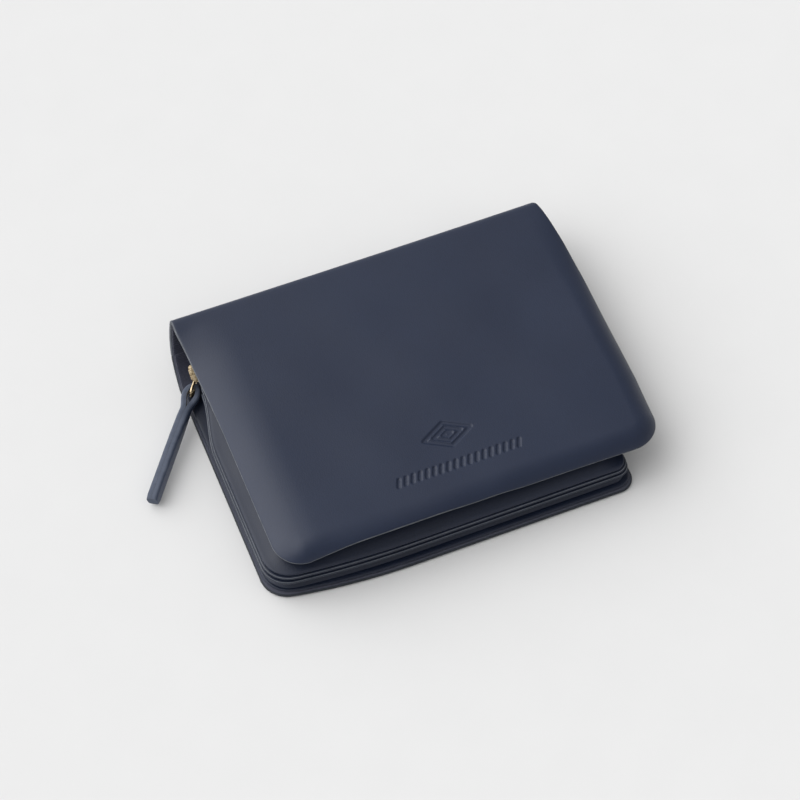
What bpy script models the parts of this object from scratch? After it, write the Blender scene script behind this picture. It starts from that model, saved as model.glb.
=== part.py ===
"""A compact flap wallet: a one-piece leather cover (back, spine, front), a note pocket,
a zipped coin pouch, card slots inside the front cover, and a leather zip pull.

Sizes are in millimetres and become metres as each mesh is made. X runs along the spine,
+Y points to the spine, +Z is up, and the origin is on the floor under the middle of the back.
"""
import math

import bmesh
import bpy
from mathutils import Vector

MM = 0.001

# Leather thicknesses and the layers of the closed wallet, from the floor up
COVER_THICK = 1.2
LINING_THICK = 0.8
BACK_LINING = (1.5, 2.5)
NOTE_GUSSET = (2.8, 6.0)
NOTE_PANEL = (6.3, 7.2)
POUCH_REAR = (7.9, 8.8)
POUCH_DIVIDER = (9.6, 10.0)
POUCH_RIM = 9.9
POUCH_TOP = 12.2
POUCH_MOUTH_TOP = 14.1
POUCH_WALL_THICK = 0.8
FRONT_TOP = 18.0
FRONT_PADDING = (15.7, 16.5)
FRONT_LINING_DEPTH = 2.6
FRONT_LINING_THICK = 0.7

# Plan sizes: left, right, front and rear of each panel
BACK = (-59.0, 57.5, -48.0, 32.2)
FRONT = (-54.8, 65.0, -45.0)
POCKET = (-57.4, 54.2, -46.2)
NOTE_PANEL_REAR = 25.0
POUCH_BACK_REAR = 26.3
MOUTH_INSET = 3.6
MOUTH_STARTS_Y = 8.0
MOUTH_ENDS_Y = 18.0
MOUTH_STEPS = 6
CORNER = 9.0
CORNER_STEPS = 7
SLOT_CORNER = 3.0

# How the front cover rolls over its free edges
ROLL_WIDTH = 9.0
ROLL_DROP = 6.3
ROLL_SHARPNESS = 0.93
ROLL_STARTS_Y = 26.0
ROLL_FULL_Y = 6.0

# Spine: a quarter ellipse from the back's edge, then a tight fold into the front cover
SPINE_START = (33.4, 0.0)
SPINE_DEPTH = 14.6
FOLD_RADIUS = 3.2
SPINE_TOP_Z = FRONT_TOP - FOLD_RADIUS
SPINE_Y = SPINE_START[0] + SPINE_DEPTH
BACK_HINGE = (32.8, 0.6)
FRONT_HINGE = (SPINE_Y - 1.4, SPINE_TOP_Z + 1.6)

# Zip: a chain along X across the pouch's mouth, in a plane that leans back
ZIP_CENTRE = (30.6, 10.2)
ZIP_LEAN = math.radians(37)
ZIP_LEFT = -54.0
ZIP_RIGHT = 47.0
TAPE_THICK = 0.5
TAPE_REACH = (1.9, 3.2)
TOOTH_PITCH = 2.6
TOOTH_WIDTH = 1.0
TOOTH_REACH = 0.45
TOOTH_BASE = 0.9
TOOTH_ROOT = 1.6
TOOTH_THICK = 1.4
STOP_SPAN = (ZIP_RIGHT + 0.4, ZIP_RIGHT + 2.4)
STOP_HALF_WIDTH = 1.6
STOP_HALF_THICK = 0.6

# Slider, ring and leather pull
SLIDER_NOSE = -56.0
SLIDER_LENGTH = 8.0
SLIDER_WIDTH = 5.0
SLIDER_HALF_THICK = 1.6
SLIDER_PLATE = 0.6
LUG = Vector((-53.0, 33.6, 5.1))
LUG_RADIUS = 2.1
LUG_BORE = 1.3
LUG_THICK = 0.8
POST_HEIGHT = 5.3
POST_HALF = 0.5
POST_OFFSET = Vector((1.5, -0.8, 0.0))
RING_LENGTH = 7.6
RING_HALF_WIDTH = 1.8
WIRE_RADIUS = 0.45
PULL_DIRECTION = Vector((-0.585, -0.807, -0.055)).normalized()
PULL_TILT = (math.radians(90), math.radians(75))
PULL_TWIST = (4.0, 20.0)
PULL_LENGTH = 36.5
PULL_HALF_WIDTH = 1.9
PULL_LOOP_HALF_WIDTH = 0.95
PULL_LAYER = 1.5
PULL_EYE_START = -3.0
PULL_EYE_END = 6.0
PULL_EYE_HALF = 1.3
PULL_EYE_ALONGS = (-2.5, -1.3, 0.0, 1.5, 3.0, 4.5, 5.8)
PULL_TAIL_ALONGS = (8.0, 11.0, 15.0, 20.0, 28.0, PULL_LENGTH)

MATERIALS = {
    "leather": ((0.045, 0.055, 0.085), 0.5, 0.0),
    "lining": ((0.060, 0.062, 0.095), 0.7, 0.0),
    "padding": ((0.20, 0.20, 0.21), 0.9, 0.0),
    "tape": ((0.018, 0.022, 0.038), 0.85, 0.0),
    "brass": ((0.72, 0.60, 0.42), 0.3, 1.0),
}


def clear_scene():
    for item in list(bpy.data.objects):
        bpy.data.objects.remove(item, do_unlink=True)


def material(name):
    found = bpy.data.materials.get(name)
    if found:
        return found
    colour, roughness, metallic = MATERIALS[name]
    made = bpy.data.materials.new(name)
    made.use_nodes = True
    shader = made.node_tree.nodes["Principled BSDF"]
    shader.inputs["Base Color"].default_value = (*colour, 1.0)
    shader.inputs["Roughness"].default_value = roughness
    shader.inputs["Metallic"].default_value = metallic
    return made


def pivot(name, place, parent=None):
    """An empty on a joint's axis; what turns about it is its child."""
    empty = bpy.data.objects.new(name, None)
    empty.empty_display_size = 0.01
    bpy.context.collection.objects.link(empty)
    empty["place"] = [value * MM for value in place]
    empty.location = Vector(empty["place"])
    if parent:
        empty.parent = parent
        empty.location = Vector(empty["place"]) - Vector(parent["place"])
    return empty


def add_object(name, bm, finish, parent=None, smooth=False):
    """Finish a mesh made in millimetres and place it, in metres, under its parent."""
    bmesh.ops.recalc_face_normals(bm, faces=bm.faces)
    bmesh.ops.scale(bm, vec=(MM, MM, MM), verts=bm.verts)
    mesh = bpy.data.meshes.new(name)
    bm.to_mesh(mesh)
    bm.free()
    if smooth:
        mesh.shade_smooth()
        mesh.set_sharp_from_angle(angle=math.radians(40))
    item = bpy.data.objects.new(name, mesh)
    bpy.context.collection.objects.link(item)
    mesh.materials.append(material(finish))
    if parent:
        item.parent = parent
        item.location = -Vector(parent["place"])
    return item


def smooth_step(value):
    value = min(1.0, max(0.0, value))
    return value * value * (3.0 - 2.0 * value)


# ---------------------------------------------------------------- flat panels

def mouth_inset(y):
    """How much narrower the pockets are towards the spine, where their sides fold in."""
    return MOUTH_INSET * smooth_step((y - MOUTH_STARTS_Y) / (MOUTH_ENDS_Y - MOUTH_STARTS_Y))


def panel_outline(left, right, front, rear, corner=CORNER, inset=None):
    """A panel's outline: two round front corners and a straight rear edge."""
    points = []
    for centre_x, start in ((left + corner, math.pi), (right - corner, 1.5 * math.pi)):
        for step in range(CORNER_STEPS + 1):
            angle = start + 0.5 * math.pi * step / CORNER_STEPS
            points.append((centre_x + corner * math.cos(angle), front + corner * (1 + math.sin(angle))))
    if inset is None:
        return points + [(right, rear), (left, rear)]
    step_y = (MOUTH_ENDS_Y - MOUTH_STARTS_Y) / (MOUTH_STEPS - 1)
    heights = [MOUTH_STARTS_Y + step_y * step for step in range(MOUTH_STEPS)] + [rear]
    points += [(right - inset(y), y) for y in heights]
    points += [(left + inset(y), y) for y in reversed(heights)]
    return points


def prism(name, outline, levels, finish, parent=None, hole=None):
    """A flat outline, with an optional inner outline of as many points, given a thickness."""
    bm = bmesh.new()
    rings = [[bm.verts.new((x, y, z)) for x, y in outline] for z in levels]
    if hole is None:
        for ring in rings:
            bm.faces.new(ring)
        bridge(bm, rings[0], rings[1])
    else:
        holes = [[bm.verts.new((x, y, z)) for x, y in hole] for z in levels]
        bridge(bm, rings[0], rings[1])
        bridge(bm, holes[0], holes[1])
        bridge(bm, rings[0], holes[0])
        bridge(bm, rings[1], holes[1])
    return add_object(name, bm, finish, parent)


def bridge(bm, first, second, closed=True):
    count = len(first)
    for index in range(count if closed else count - 1):
        following = (index + 1) % count
        bm.faces.new((first[index], first[following], second[following], second[index]))


def gusset_strip(name, left, right, front, rear, thick, levels):
    """A strip on edge that closes a pocket's left side, front and right side."""
    outer = panel_outline(left, right, front, rear, CORNER, mouth_inset)
    inner = panel_outline(left + thick, right - thick, front + thick, rear, CORNER - thick, mouth_inset)
    bm = bmesh.new()
    loops = []
    for outline in (outer, inner):
        left_side = len(outline) - (MOUTH_STEPS + 1)
        chain = outline[left_side:] + outline[:left_side]
        loops.append([[bm.verts.new((x, y, z)) for x, y in chain] for z in levels])
    (outer_low, outer_high), (inner_low, inner_high) = loops
    bridge(bm, outer_low, outer_high, closed=False)
    bridge(bm, inner_low, inner_high, closed=False)
    bridge(bm, outer_low, inner_low, closed=False)
    bridge(bm, outer_high, inner_high, closed=False)
    for end in (0, -1):
        bm.faces.new((outer_low[end], outer_high[end], inner_high[end], inner_low[end]))
    return add_object(name, bm, "leather")


# ---------------------------------------------------------------- shaped panels

def stations(low, high, edges, pitch):
    """Grid lines from low to high, close together near the ends."""
    middle_low = low + edges[-1]
    middle_high = high - edges[-1]
    count = max(1, round((middle_high - middle_low) / pitch))
    middle = [middle_low + (middle_high - middle_low) * step / count for step in range(count + 1)]
    return [low + edge for edge in edges[:-1]] + middle + [high - edge for edge in reversed(edges[:-1])]


def round_corner(x, y, left, right, front):
    """Move a grid point so that the grid's square front corners become round ones."""
    from_side = min(x - left, right - x)
    if from_side >= CORNER or y - front >= CORNER:
        return x, y
    across = 1.0 - from_side / CORNER
    down = 1.0 - (y - front) / CORNER
    round_across = across * math.sqrt(1.0 - 0.5 * down * down)
    round_down = down * math.sqrt(1.0 - 0.5 * across * across)
    centre_x = left + CORNER if x - left < right - x else right - CORNER
    side = -1.0 if x - left < right - x else 1.0
    return centre_x + side * CORNER * round_across, front + CORNER * (1.0 - round_down)


def edge_distance(x, y, left, right, front):
    """Distance to the free left, right or front edge, up to the corner radius."""
    across = max(0.0, CORNER - min(x - left, right - x))
    down = max(0.0, CORNER - (y - front))
    return CORNER - math.hypot(across, down)


def shell(name, columns, finish, parent=None):
    """A closed skin from columns of (outer point, inner point) pairs, one column for each X."""
    bm = bmesh.new()
    outer = [[bm.verts.new(pair[0]) for pair in column] for column in columns]
    inner = [[bm.verts.new(pair[1]) for pair in column] for column in columns]
    for grid in (outer, inner):
        for first, second in zip(grid, grid[1:]):
            bridge(bm, first, second, closed=False)
    bridge(bm, outer[0], inner[0], closed=False)
    bridge(bm, outer[-1], inner[-1], closed=False)
    for row in (0, -1):
        bridge(bm, [column[row] for column in outer], [column[row] for column in inner], closed=False)
    return add_object(name, bm, finish, parent, smooth=True)


def roll(distance, y):
    """How far the front cover has dropped near a free edge."""
    reach = max(0.0, 1.0 - distance / ROLL_WIDTH)
    drop = ROLL_DROP * (1.0 - math.sqrt(1.0 - (ROLL_SHARPNESS * reach) ** 2))
    return drop * smooth_step((ROLL_STARTS_Y - y) / (ROLL_STARTS_Y - ROLL_FULL_Y))


def fold_profile(thick):
    """The front cover's last stretch: a quarter circle from its flat top down to the spine."""
    steps = 5
    centre_y, centre_z = SPINE_Y - FOLD_RADIUS, SPINE_TOP_Z
    pairs = []
    for step in range(steps + 1):
        angle = math.radians(90 - 72 * step / steps)
        radial = Vector((0.0, math.cos(angle), math.sin(angle)))
        centre = Vector((0.0, centre_y, centre_z))
        pairs.append((centre + radial * FOLD_RADIUS, centre + radial * (FOLD_RADIUS - thick)))
    return pairs


def front_panel(name, depth, thick, edge_inset, rear, finish, parent, folds=False):
    """A layer of the front cover, depth below its outer face, that rolls over its free edges."""
    left, right, front = FRONT
    edges = (0.0, 0.8, 2.0, 3.6, 5.8, CORNER)
    xs = stations(left + edge_inset, right - edge_inset, edges, 21.0)
    ys = [front + edge_inset + edge for edge in edges]
    span = rear - ys[-1]
    ys += [ys[-1] + span * step / 6 for step in range(1, 7)]
    columns = []
    for x in xs:
        column = []
        for y in ys:
            px, py = round_corner(x, y, left + edge_inset, right - edge_inset, front + edge_inset)
            z = FRONT_TOP - depth - roll(edge_distance(px, py, left, right, front), py)
            column.append((Vector((px, py, z)), Vector((px, py, z - thick))))
        if folds:
            column += [(a + Vector((x, 0, 0)), b + Vector((x, 0, 0))) for a, b in fold_profile(thick)[1:]]
        columns.append(column)
    return shell(name, columns, finish, parent)


def spine_panel(name, depth, thick, start, end, inset, finish, parent):
    """A layer of the spine, along a quarter ellipse; its sides slant from back to front cover."""
    steps = 9
    columns = []
    for side in (0, 1):
        column = []
        for step in range(steps + 1):
            part = start + (end - start) * step / steps
            angle = 0.5 * math.pi * part
            radial = Vector((0.0, math.sin(angle) * SPINE_TOP_Z, -math.cos(angle) * SPINE_DEPTH)).normalized()
            y = SPINE_START[0] + SPINE_DEPTH * math.sin(angle)
            z = SPINE_TOP_Z * (1.0 - math.cos(angle))
            x = BACK[side] + (FRONT[side] - BACK[side]) * part + (inset if side == 0 else -inset)
            point = Vector((x, y, z))
            column.append((point - radial * depth, point - radial * (depth + thick)))
        columns.append(column)
    return shell(name, columns, finish, parent)


def pouch_front(name):
    """The coin pouch's padded front wall: rim sewn down, middle raised, mouth lifted by the zip."""
    left, right, front = POCKET
    edges = (0.0, 1.4, 3.0, 5.2, CORNER)
    ys = [front + edge for edge in edges] + [-22.0, -8.0, 8.0, 13.0, 18.0, 22.0, 25.0, 28.0, 31.0, 33.6]
    columns = []
    for x in stations(left, right, edges, 24.0):
        column = []
        for y in ys:
            px, py = round_corner(x, y, left, right, front)
            mouth = smooth_step((py - 12.0) / 12.0)
            rise = max(mouth, smooth_step(edge_distance(px, py, left, right, front) / CORNER))
            top = POUCH_TOP + (POUCH_MOUTH_TOP - POUCH_TOP) * smooth_step((py - 18.0) / 12.0)
            z = POUCH_RIM + (top - POUCH_RIM) * rise
            middle = 0.5 * (left + right)
            px = middle + (px - middle) * (1.0 - 2.0 * mouth_inset(py) / (right - left))
            column.append((Vector((px, py, z)), Vector((px, py, z - POUCH_WALL_THICK))))
        columns.append(column)
    return shell(name, columns, "leather")


# ---------------------------------------------------------------- zip

def zip_point(along_x, across, out):
    """A point by its place along the chain, across the tape (up) and out of the pouch."""
    y = ZIP_CENTRE[0] + across * math.cos(ZIP_LEAN) + out * math.sin(ZIP_LEAN)
    z = ZIP_CENTRE[1] + across * math.sin(ZIP_LEAN) - out * math.cos(ZIP_LEAN)
    return Vector((along_x, y, z))


def zip_prism(bm, outline, low, high):
    """A solid from an outline in (along, across), between two distances out of the pouch."""
    rings = [[bm.verts.new(zip_point(x, across, out)) for x, across in outline] for out in (low, high)]
    bm.faces.new(rings[0])
    bm.faces.new(rings[1])
    bridge(bm, rings[0], rings[1])


def zip_tape(name, side):
    near, far = TAPE_REACH
    outline = [(ZIP_LEFT - 1, side * near), (ZIP_RIGHT + 1, side * near),
               (ZIP_RIGHT + 1, side * far), (ZIP_LEFT - 1, side * far)]
    bm = bmesh.new()
    zip_prism(bm, outline, -TAPE_THICK / 2, TAPE_THICK / 2)
    return add_object(name, bm, "tape")


def zip_teeth(name, side):
    """One row of teeth on its bead, half a pitch from the other row."""
    shift = 0.0 if side > 0 else 0.5 * TOOTH_PITCH
    first = ZIP_LEFT + 2.0 + shift
    count = int((ZIP_RIGHT - first - 1.0) / TOOTH_PITCH)
    rows = [side * across for across in (TOOTH_ROOT, TOOTH_BASE, -TOOTH_REACH)]
    bm = bmesh.new()
    grid = []
    for index in range(2 * count):
        x = first + (index // 2) * TOOTH_PITCH + (index % 2) * TOOTH_WIDTH
        grid.append([bm.verts.new(zip_point(x, across, -TOOTH_THICK / 2)) for across in rows])
    for index, (near, far) in enumerate(zip(grid, grid[1:])):
        bm.faces.new((near[0], near[1], far[1], far[0]))
        if index % 2 == 0:
            bm.faces.new((near[1], near[2], far[2], far[1]))
    thicken = bmesh.ops.extrude_face_region(bm, geom=bm.faces[:])
    moved = [item for item in thicken["geom"] if isinstance(item, bmesh.types.BMVert)]
    inwards = zip_point(0, 0, TOOTH_THICK / 2) - zip_point(0, 0, -TOOTH_THICK / 2)
    bmesh.ops.translate(bm, verts=moved, vec=inwards)
    return add_object(name, bm, "brass")


def zip_stop(name):
    """A small clamp across both tapes at the closed end of the chain."""
    low_x, high_x = STOP_SPAN
    outline = [(low_x, -STOP_HALF_WIDTH), (high_x, -STOP_HALF_WIDTH),
               (high_x, STOP_HALF_WIDTH), (low_x, STOP_HALF_WIDTH)]
    bm = bmesh.new()
    zip_prism(bm, outline, -STOP_HALF_THICK, STOP_HALF_THICK)
    return add_object(name, bm, "brass")


def slider_piece(name, outline, low, high):
    bm = bmesh.new()
    zip_prism(bm, outline, low, high)
    return add_object(name, bm, "brass")


def slider_lug():
    """A flat eye with an upright bore, for the ring."""
    bm = bmesh.new()
    steps = 20
    loops = []
    for radius in (LUG_RADIUS, LUG_BORE):
        for height in (-0.5 * LUG_THICK, 0.5 * LUG_THICK):
            loops.append([bm.verts.new(LUG + Vector((radius * math.cos(math.tau * step / steps),
                                                     radius * math.sin(math.tau * step / steps), height)))
                          for step in range(steps)])
    bridge(bm, loops[0], loops[1])
    bridge(bm, loops[2], loops[3])
    bridge(bm, loops[0], loops[2])
    bridge(bm, loops[1], loops[3])
    return add_object("slider_lug_tool", bm, "brass")


def slider_post():
    """The post that joins the ring's eye to the slider's outer plate."""
    bm = bmesh.new()
    centre = LUG + POST_OFFSET
    low, high = LUG.z - 0.5 * LUG_THICK + 0.1, LUG.z + POST_HEIGHT
    rings = [[bm.verts.new((centre.x + dx * POST_HALF, centre.y + dy * POST_HALF, z))
              for dx, dy in ((-1, -1), (1, -1), (1, 1), (-1, 1))] for z in (low, high)]
    bm.faces.new(rings[0])
    bm.faces.new(rings[1])
    bridge(bm, rings[0], rings[1])
    return add_object("slider_post_tool", bm, "brass")


def union(target, tools):
    """Join tools into the target as one body; the tools stay hidden."""
    for tool in tools:
        tool.hide_render = True
        tool.display_type = "WIRE"
        joined = target.modifiers.new("join", "BOOLEAN")
        joined.operation = "UNION"
        joined.solver = "EXACT"
        joined.object = tool


def zip_slider(parent):
    """Two plates joined by a neck at the nose, with the lug on the outer plate."""
    tail = SLIDER_NOSE + SLIDER_LENGTH
    wide, narrow = 0.5 * SLIDER_WIDTH, 0.36 * SLIDER_WIDTH
    outline = [(SLIDER_NOSE, -narrow), (SLIDER_NOSE + 2.2, -wide), (tail - 1, -wide), (tail, -narrow),
               (tail, narrow), (tail - 1, wide), (SLIDER_NOSE + 2.2, wide), (SLIDER_NOSE, narrow)]
    inner_gap = SLIDER_HALF_THICK - SLIDER_PLATE
    slider = slider_piece("zip_slider", outline, inner_gap, SLIDER_HALF_THICK)
    inner = slider_piece("slider_inner_tool", outline, -SLIDER_HALF_THICK, -inner_gap)
    neck_outline = [(SLIDER_NOSE + 0.2, -1.0), (SLIDER_NOSE + 1.5, -0.2), (SLIDER_NOSE + 1.5, 0.2),
                    (SLIDER_NOSE + 0.2, 1.0)]
    neck = slider_piece("slider_neck_tool", neck_outline, -inner_gap - 0.2, inner_gap + 0.2)
    union(slider, [neck, inner, slider_post(), slider_lug()])
    slider.parent = parent
    slider.location = -Vector(parent["place"])
    return slider


# ---------------------------------------------------------------- ring and leather pull

def pull_axes(along=0.0):
    """The pull's direction, its face's outward direction, and its width's direction, as it twists."""
    level = Vector((-PULL_DIRECTION.y, PULL_DIRECTION.x, 0.0)).normalized()
    up = PULL_DIRECTION.cross(level)
    part = smooth_step((along - PULL_TWIST[0]) / (PULL_TWIST[1] - PULL_TWIST[0]))
    tilt = PULL_TILT[0] + (PULL_TILT[1] - PULL_TILT[0]) * part
    face = up * math.cos(tilt) + level * math.sin(tilt)
    width = level * math.cos(tilt) - up * math.sin(tilt)
    return PULL_DIRECTION, face, width


def pull_ring(parent):
    """A wire ring, longer than it is wide, through the slider's eye and the pull's fold."""
    along, _, width = pull_axes()
    half_turn = 9
    sides = 8
    path = []
    for end in (0, 1):
        centre = LUG + along * (RING_HALF_WIDTH if end == 0 else RING_LENGTH - RING_HALF_WIDTH)
        for step in range(half_turn):
            angle = math.pi * (step / (half_turn - 1) + end)
            outward = width * math.cos(angle) - along * math.sin(angle)
            path.append((centre + outward * RING_HALF_WIDTH, outward))
    normal = along.cross(width)
    bm = bmesh.new()
    rings = []
    for centre, outward in path:
        rings.append([bm.verts.new(centre + (outward * math.cos(math.tau * side / sides)
                                             + normal * math.sin(math.tau * side / sides)) * WIRE_RADIUS)
                      for side in range(sides)])
    for first, second in zip(rings, rings[1:] + rings[:1]):
        bridge(bm, first, second)
    return add_object("pull_ring", bm, "brass", parent, smooth=True)


def eye_half(along):
    """Half the gap between the pull's two layers, a teardrop round the ring."""
    if along <= 0.0:
        return PULL_EYE_HALF * math.sqrt(max(0.0, 1.0 - (along / PULL_EYE_START) ** 2))
    return PULL_EYE_HALF * (1.0 - smooth_step(along / PULL_EYE_END))


def pull_half_width(along):
    return PULL_LOOP_HALF_WIDTH + (PULL_HALF_WIDTH - PULL_LOOP_HALF_WIDTH) * smooth_step((along - 2.0) / 7.0)


def pull_strap(parent):
    """A leather strip folded double round the ring; it twists towards its end."""
    eye = LUG + PULL_DIRECTION * RING_LENGTH
    bm = bmesh.new()

    def section(along, out, side):
        direction, face, width = pull_axes(along)
        return bm.verts.new(eye + direction * along + face * out + width * side * pull_half_width(along))

    def sheet(alongs, low, high):
        """One stretch of the strip, between two heights off its middle plane."""
        return [[section(along, height(along), side) for height in (low, high) for side in (-1, 1)]
                for along in alongs]

    def outside(along):
        return eye_half(along) + PULL_LAYER

    upper = sheet(PULL_EYE_ALONGS, eye_half, outside)
    lower = sheet(PULL_EYE_ALONGS, lambda along: -eye_half(along), lambda along: -outside(along))
    tip = [section(PULL_EYE_START, 0.0, side) for side in (-1, 1)]
    tip += [section(PULL_EYE_START - PULL_LAYER, 0.0, side) for side in (-1, 1)]
    tail = sheet(PULL_TAIL_ALONGS, lambda along: -PULL_LAYER, lambda along: PULL_LAYER)
    chain = list(reversed(upper)) + [tip] + lower
    for first, second in zip(chain, chain[1:]):
        for low, high in ((0, 1), (1, 3), (3, 2), (2, 0)):
            bm.faces.new((first[low], first[high], second[high], second[low]))
    joint = [upper[-1][2], upper[-1][3], lower[-1][3], lower[-1][2]]
    inner = [upper[-1][0], upper[-1][1], lower[-1][1], lower[-1][0]]
    bm.faces.new(inner)
    starts = [[joint[3], joint[2], joint[0], joint[1]]] + tail
    bm.faces.new((joint[0], inner[0], inner[3], joint[3]))
    bm.faces.new((joint[1], inner[1], inner[2], joint[2]))
    for first, second in zip(starts, starts[1:]):
        for low, high in ((0, 1), (1, 3), (3, 2), (2, 0)):
            bm.faces.new((first[low], first[high], second[high], second[low]))
    end = tail[-1]
    bm.faces.new((end[0], end[1], end[3], end[2]))
    return add_object("pull_strap", bm, "leather", parent)


# ---------------------------------------------------------------- assembly

def build_back():
    left, right, front, rear = BACK
    prism("back_cover", panel_outline(*BACK), (0.0, COVER_THICK), "leather")
    prism("back_lining", panel_outline(left + 0.5, right - 0.5, front + 0.5, rear - 0.8), BACK_LINING, "lining")


def build_pockets():
    left, right, front = POCKET
    gusset_strip("note_gusset", left + 2.0, right - 2.0, front + 2.0, 24.0, 0.8, NOTE_GUSSET)
    outline = panel_outline(left, right, front, NOTE_PANEL_REAR, CORNER, mouth_inset)
    prism("note_panel", outline, NOTE_PANEL, "leather")
    outline = panel_outline(left, right, front, POUCH_BACK_REAR, CORNER, mouth_inset)
    prism("pouch_rear_wall", outline, POUCH_REAR, "leather")
    outline = panel_outline(left + 11.0, right - 11.0, front + 11.0, 20.0)
    prism("pouch_divider", outline, POUCH_DIVIDER, "lining")
    pouch_front("pouch_front_wall")


def build_zip():
    zip_tape("zip_tape_front", 1)
    zip_tape("zip_tape_rear", -1)
    zip_teeth("zip_teeth_front", 1)
    zip_teeth("zip_teeth_rear", -1)
    zip_stop("zip_bottom_stop")


def build_front(parent):
    front_panel("front_cover", 0.0, COVER_THICK, 0.0, SPINE_Y - FOLD_RADIUS, "leather", parent, folds=True)
    outline = panel_outline(FRONT[0] + 11, FRONT[1] - 11, FRONT[2] + 11, 30.0)
    prism("front_padding", outline, FRONT_PADDING, "padding", parent)
    front_panel("front_lining", FRONT_LINING_DEPTH, FRONT_LINING_THICK, 1.5, 40.0, "lining", parent)
    slot_thick, slot_gap, slot_step = 0.4, 0.3, 11.0
    top = FRONT_TOP - FRONT_LINING_DEPTH - FRONT_LINING_THICK
    for index in range(3):
        high = top - slot_gap - index * (slot_thick + slot_gap)
        outline = panel_outline(FRONT[0] + 12, FRONT[1] - 12, FRONT[2] + 11, 14.0 - index * slot_step,
                                SLOT_CORNER)
        prism(f"card_slot_{index + 1}", outline, (high - slot_thick, high), "leather", parent)


def main():
    clear_scene()
    spine_pivot = pivot("spine_fold", (0.0, *BACK_HINGE))
    front_pivot = pivot("front_fold", (0.0, *FRONT_HINGE), spine_pivot)
    slider_pivot = pivot("slider_travel", (SLIDER_NOSE, *ZIP_CENTRE))
    ring_pivot = pivot("ring_swing", LUG, slider_pivot)
    strap_pivot = pivot("strap_swing", LUG + PULL_DIRECTION * RING_LENGTH, ring_pivot)
    build_back()
    build_pockets()
    build_zip()
    spine_panel("spine_cover", 0.0, COVER_THICK, 0.0, 0.95, 0.0, "leather", spine_pivot)
    spine_panel("spine_lining", COVER_THICK + 0.3, LINING_THICK, 0.06, 0.86, 0.6, "lining", spine_pivot)
    build_front(front_pivot)
    zip_slider(slider_pivot)
    pull_ring(ring_pivot)
    pull_strap(strap_pivot)


main()
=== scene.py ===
import math

import bmesh
import bpy
import numpy as np
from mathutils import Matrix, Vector


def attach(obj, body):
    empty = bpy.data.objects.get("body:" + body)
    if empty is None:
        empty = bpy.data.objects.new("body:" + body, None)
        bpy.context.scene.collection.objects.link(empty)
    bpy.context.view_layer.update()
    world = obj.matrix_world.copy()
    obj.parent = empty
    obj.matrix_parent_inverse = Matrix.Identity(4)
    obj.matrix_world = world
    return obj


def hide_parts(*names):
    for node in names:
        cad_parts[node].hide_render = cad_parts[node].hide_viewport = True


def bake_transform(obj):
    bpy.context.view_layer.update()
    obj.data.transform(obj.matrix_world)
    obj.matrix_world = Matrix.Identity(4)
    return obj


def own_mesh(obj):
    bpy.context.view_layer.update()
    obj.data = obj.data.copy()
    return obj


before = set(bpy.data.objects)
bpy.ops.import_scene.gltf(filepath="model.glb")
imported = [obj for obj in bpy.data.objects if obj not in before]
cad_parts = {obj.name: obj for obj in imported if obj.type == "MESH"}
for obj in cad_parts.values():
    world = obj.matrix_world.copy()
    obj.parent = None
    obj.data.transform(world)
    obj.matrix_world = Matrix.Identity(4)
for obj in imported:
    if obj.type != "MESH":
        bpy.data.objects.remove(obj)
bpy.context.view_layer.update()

MM = 0.001
CORNER = 9.0                                  # the free corners' radius, and the reach of their edges
COVER = 1.2                                   # leather of the cover
LINING, BACK_LINING = 0.7, 0.8
POUCH_LEATHER, POCKET_LEATHER, SLOT_LEATHER, GUSSET_LEATHER = 0.8, 0.9, 0.4, 0.7
EDGE_BULGE = 0.4                              # how far the skins stop short, for their round cut edges
FLAP_INSET, SLOT_INSET = 11.0, 12.0           # padding and card slots, from the flap's edges
# Left, right, front, radii of the left and right front corners, how far the front bows forward
BACK = (-59.3, 54.7, -46.0, 8.0, 4.6, 3.3)
FLAP = (-54.8, 65.0, -45.0, CORNER, CORNER, 0.0)
POCKET = (-58.5, 52.9, -45.2, 8.0, 3.8, 2.2)
FLAP_TOP = 18.0
SPINE_START_Y, SPINE_DEPTH, SPINE_TOP = 33.4, 14.6, 14.8
FOLD_RADIUS = FLAP_TOP - SPINE_TOP
FOLD_Y = SPINE_START_Y + SPINE_DEPTH - FOLD_RADIUS
FOLD_ARC = 0.5 * math.pi * FOLD_RADIUS
SPINE_ARC = 23.0
SEAM = 0.5                                    # where the two skins of the cover meet on the spine

# The cover's side edges, by the way along it from the flap's front edge, over the fold, down the spine
LEFT_EDGE = ((-45, -54.8), (4, -54.8), (16, -55.0), (32, -55.6), (42, -56.3), (46, -56.3), (50, -56.5),
             (54, -57.1), (61, -58.2), (73, -59.3))
RIGHT_EDGE = ((-45, 65.0), (-36, 65.2), (-22, 66.1), (16, 66.2), (30, 65.7), (38, 64.9), (43, 64.2),
              (46.5, 63.3), (50, 61.9), (54, 60.9), (61, 59.2), (73, 55.4))
# How far the flap's free edges have dropped: left and right by Y, front by X
LEFT_DROP = ((-45, 1.3), (-30, 1.1), (0, 0.7), (12, 0.4), (24, 0.1), (34, 0.0), (46, 0.0))
RIGHT_DROP = ((-45, 4.6), (-25, 5.4), (0, 4.6), (15, 3.0), (31, 1.4), (40, 0.4), (46, 0.0))
FRONT_DROP = ((-54, 4.4), (-47, 4.6), (-42, 4.2), (-33, 2.3), (-18, 1.9), (-5, 2.2), (4, 3.0), (12, 2.7),
              (20, 4.0), (36, 3.9), (45, 4.4), (55, 5.0), (65, 4.6))

scene = bpy.context.scene


def smooth(value):
    """From 0 to 1 with no slope at either end."""
    value = np.clip(value, 0.0, 1.0)
    return value * value * (3.0 - 2.0 * value)


def curve(values, knots, soft=3.0):
    """A soft line through knots of (place, value)."""
    places, heights = np.array(knots, float).T
    shifts = np.linspace(-soft, soft, 9)
    return np.mean([np.interp(values + shift, places, heights) for shift in shifts], axis=0)


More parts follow.
